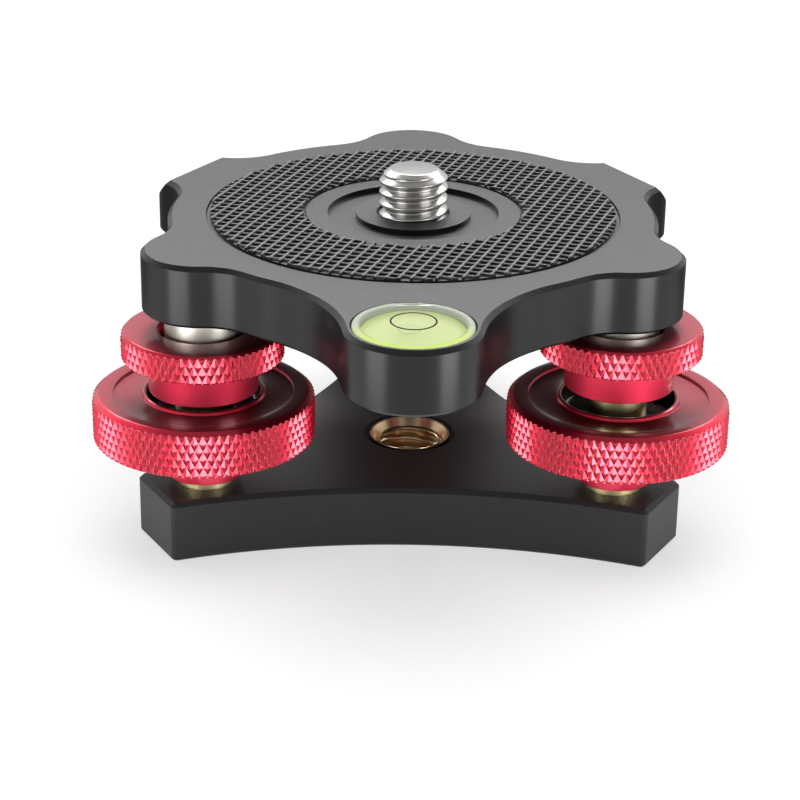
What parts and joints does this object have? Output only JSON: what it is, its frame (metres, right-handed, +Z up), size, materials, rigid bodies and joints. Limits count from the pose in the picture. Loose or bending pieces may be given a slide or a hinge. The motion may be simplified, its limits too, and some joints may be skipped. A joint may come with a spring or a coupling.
{
  "type": "leveling base",
  "caption": "Tripod levelling base: a lobed top plate with a camera screw and bubble level, carried on screw adjusters above a three-armed base plate.",
  "frame": {"origin": "centre of the tripod socket at the underside of the base plate", "axes": "+Z up towards the camera, +Y to the rear adjuster, -Y to the bubble level, +X to the right seen from the bubble level"},
  "size_m": [0.0865, 0.0995, 0.0485],
  "materials": {
    "base_anodised": "black anodised, satin",
    "plate_anodised": "black anodised, satin",
    "insert_bronze": "turned and polished",
    "pad_rubber": "moulded crossing ribs, matt",
    "screw_steel": "stainless, polished thread",
    "vial_clear": "clear, polished dome",
    "vial_floor": "lime green, smooth",
    "ring_black": "black",
    "vial_liquid": "clear yellow-green liquid",
    "spindle_brass": "turned, bright",
    "clip_steel": "spring steel, plain",
    "height_wheel_red": "crimson anodised, turned faces, diamond knurl",
    "lock_wheel_red": "crimson anodised, satin hub, diamond knurl",
    "washer_nylon": "natural nylon",
    "seat_acetal": "smooth acetal",
    "collar_nickel": "nickel plated, satin"
  },
  "bodies": {
    "base": {"base_plate": "base_anodised", "tripod_thread_insert": "insert_bronze"},
    "tilt_seats": {"upper_ball_seat_left": "seat_acetal", "upper_ball_seat_right": "seat_acetal"},
    "plate": {"top_plate": "plate_anodised", "camera_pad": "pad_rubber", "camera_screw": "screw_steel", "level_vial_body": "vial_clear", "level_vial_plug": "vial_floor", "level_sight_ring": "ring_black", "level_liquid": "vial_liquid", "ball_collar_left": "collar_nickel", "ball_collar_right": "collar_nickel", "ball_collar_rear": "collar_nickel"},
    "rear_seat": {"upper_ball_seat_rear": "seat_acetal"},
    "carrier_left": {"lower_ball_seat_left": "seat_acetal"},
    "adjuster_left": {"spindle_left": "spindle_brass", "retaining_clip_left": "clip_steel", "height_wheel_left": "height_wheel_red"},
    "lock_lift_left": {"friction_washer_left": "washer_nylon"},
    "lock_left": {"lock_wheel_left": "lock_wheel_red"},
    "carrier_right": {"lower_ball_seat_right": "seat_acetal"},
    "adjuster_right": {"spindle_right": "spindle_brass", "retaining_clip_right": "clip_steel", "height_wheel_right": "height_wheel_red"},
    "lock_lift_right": {"friction_washer_right": "washer_nylon"},
    "lock_right": {"lock_wheel_right": "lock_wheel_red"},
    "carrier_rear": {"lower_ball_seat_rear": "seat_acetal"},
    "adjuster_rear": {"spindle_rear": "spindle_brass", "retaining_clip_rear": "clip_steel", "height_wheel_rear": "height_wheel_red"},
    "lock_lift_rear": {"friction_washer_rear": "washer_nylon"},
    "lock_rear": {"lock_wheel_rear": "lock_wheel_red"}
  },
  "joints": [
    {"name": "plate_roll", "type": "hinge", "parent": "base", "child": "tilt_seats", "pos_m": [0, 0, 0.0352], "axis": [0, 1, 0], "range_deg": [-2, 2]},
    {"name": "plate_pitch", "type": "hinge", "parent": "tilt_seats", "child": "plate", "pos_m": [0, -0.01622, 0.0352], "axis": [1, 0, 0], "range_deg": [-1.3, 2.5]},
    {"name": "rear_seat_swivel", "type": "hinge", "parent": "plate", "child": "rear_seat", "pos_m": [0, 0.03245, 0.0352], "axis": [1, 0, 0], "range_deg": [-2.6, 1.4]},
    {"name": "ball_swivel_left", "type": "hinge", "parent": "tilt_seats", "child": "carrier_left", "pos_m": [-0.0281, -0.01622, 0.0352], "axis": [0, 1, 0], "range_deg": [-2.1, 2.1]},
    {"name": "height_turn_left", "type": "hinge", "parent": "carrier_left", "child": "adjuster_left", "pos_m": [-0.0281, -0.01622, 0], "axis": [0, 0, 1], "range_deg": [-360, 360]},
    {"name": "lock_lift_left", "type": "slide", "parent": "adjuster_left", "child": "lock_lift_left", "axis": [0, 0, 1], "range_m": [-0.0027, 0.002]},
    {"name": "lock_turn_left", "type": "hinge", "parent": "lock_lift_left", "child": "lock_left", "pos_m": [-0.0281, -0.01622, 0], "axis": [0, 0, 1], "range_deg": [-975, 725]},
    {"name": "ball_swivel_right", "type": "hinge", "parent": "tilt_seats", "child": "carrier_right", "pos_m": [0.0281, -0.01622, 0.0352], "axis": [0, 1, 0], "range_deg": [-2.1, 2.1]},
    {"name": "height_turn_right", "type": "hinge", "parent": "carrier_right", "child": "adjuster_right", "pos_m": [0.0281, -0.01622, 0], "axis": [0, 0, 1], "range_deg": [-360, 360]},
    {"name": "lock_lift_right", "type": "slide", "parent": "adjuster_right", "child": "lock_lift_right", "axis": [0, 0, 1], "range_m": [-0.0041, 0.0006]},
    {"name": "lock_turn_right", "type": "hinge", "parent": "lock_lift_right", "child": "lock_right", "pos_m": [0.0281, -0.01622, 0], "axis": [0, 0, 1], "range_deg": [-1480, 220]},
    {"name": "ball_swivel_rear", "type": "hinge", "parent": "rear_seat", "child": "carrier_rear", "pos_m": [0, 0.03245, 0.0352], "axis": [0, 1, 0], "range_deg": [-2.1, 2.1]},
    {"name": "height_turn_rear", "type": "hinge", "parent": "carrier_rear", "child": "adjuster_rear", "pos_m": [0, 0.03245, 0], "axis": [0, 0, 1], "range_deg": [-404, 775]},
    {"name": "lock_lift_rear", "type": "slide", "parent": "adjuster_rear", "child": "lock_lift_rear", "axis": [0, 0, 1], "range_m": [-0.0034, 0.0013]},
    {"name": "lock_turn_rear", "type": "hinge", "parent": "lock_lift_rear", "child": "lock_rear", "pos_m": [0, 0.03245, 0], "axis": [0, 0, 1], "range_deg": [-1228, 472]}
  ],
  "couplings": [
    {"joint": "rear_seat_swivel", "follows": "plate_pitch", "ratio": -1},
    {"joint": "ball_swivel_left", "follows": "plate_roll", "ratio": -1},
    {"joint": "height_turn_left", "follows": "plate_roll", "ratio": 176.57},
    {"joint": "lock_turn_left", "follows": "lock_lift_left", "rad_per_m": 6283.2},
    {"joint": "ball_swivel_right", "follows": "plate_roll", "ratio": -1},
    {"joint": "height_turn_right", "follows": "plate_roll", "ratio": -176.57},
    {"joint": "lock_turn_right", "follows": "lock_lift_right", "rad_per_m": 6283.2},
    {"joint": "ball_swivel_rear", "follows": "plate_roll", "ratio": -1},
    {"joint": "height_turn_rear", "follows": "plate_pitch", "ratio": 305.83},
    {"joint": "lock_turn_rear", "follows": "lock_lift_rear", "rad_per_m": 6283.2}
  ]
}
